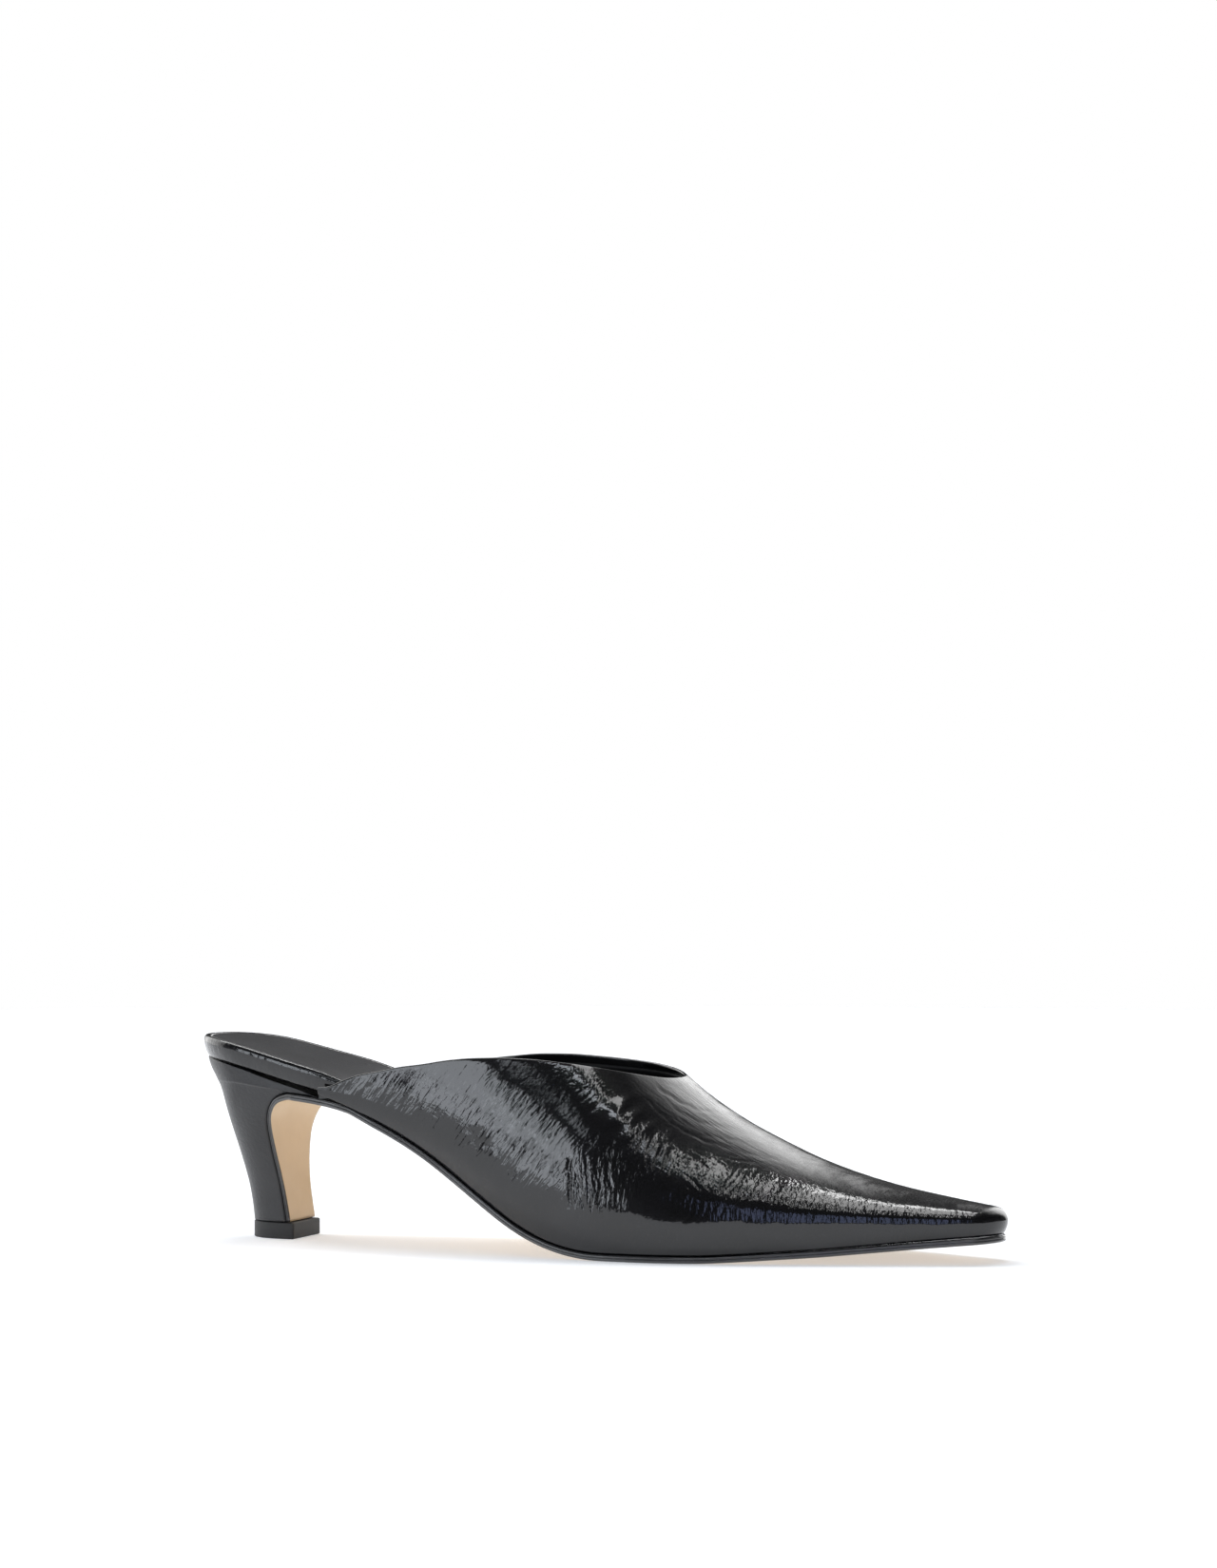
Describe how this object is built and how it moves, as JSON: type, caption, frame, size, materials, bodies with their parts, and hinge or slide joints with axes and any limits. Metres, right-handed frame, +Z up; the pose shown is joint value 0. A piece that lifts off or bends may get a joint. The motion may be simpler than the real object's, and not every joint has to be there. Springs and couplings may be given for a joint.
{
  "type": "closed toe slide",
  "caption": "Right-foot backless slide with a closed pointed toe, a one-piece patent leather vamp, a thin leather sole and a tapered mid heel.",
  "frame": {"origin": "on the floor under the middle of the shoe's bounding box", "axes": "+X towards the toe, +Y towards the inner (medial) side of the right foot, +Z up"},
  "size_m": [0.2664, 0.0832, 0.0646],
  "materials": {
    "patent_leather": "black crinkled patent, high gloss",
    "sole_leather": "smooth tan leather with a black painted edge",
    "heel_cover": "smooth black leather cover, soft gloss",
    "lift_rubber": "matte black",
    "insole_wrap": "black patent wrapped over a board",
    "sock_leather": "smooth black lining leather, semi-matte"
  },
  "bodies": {
    "root": {"upper": "patent_leather", "outsole": "sole_leather", "heel": "heel_cover", "top_lift": "lift_rubber", "insole": "insole_wrap", "sock": "sock_leather"}
  },
  "joints": []
}
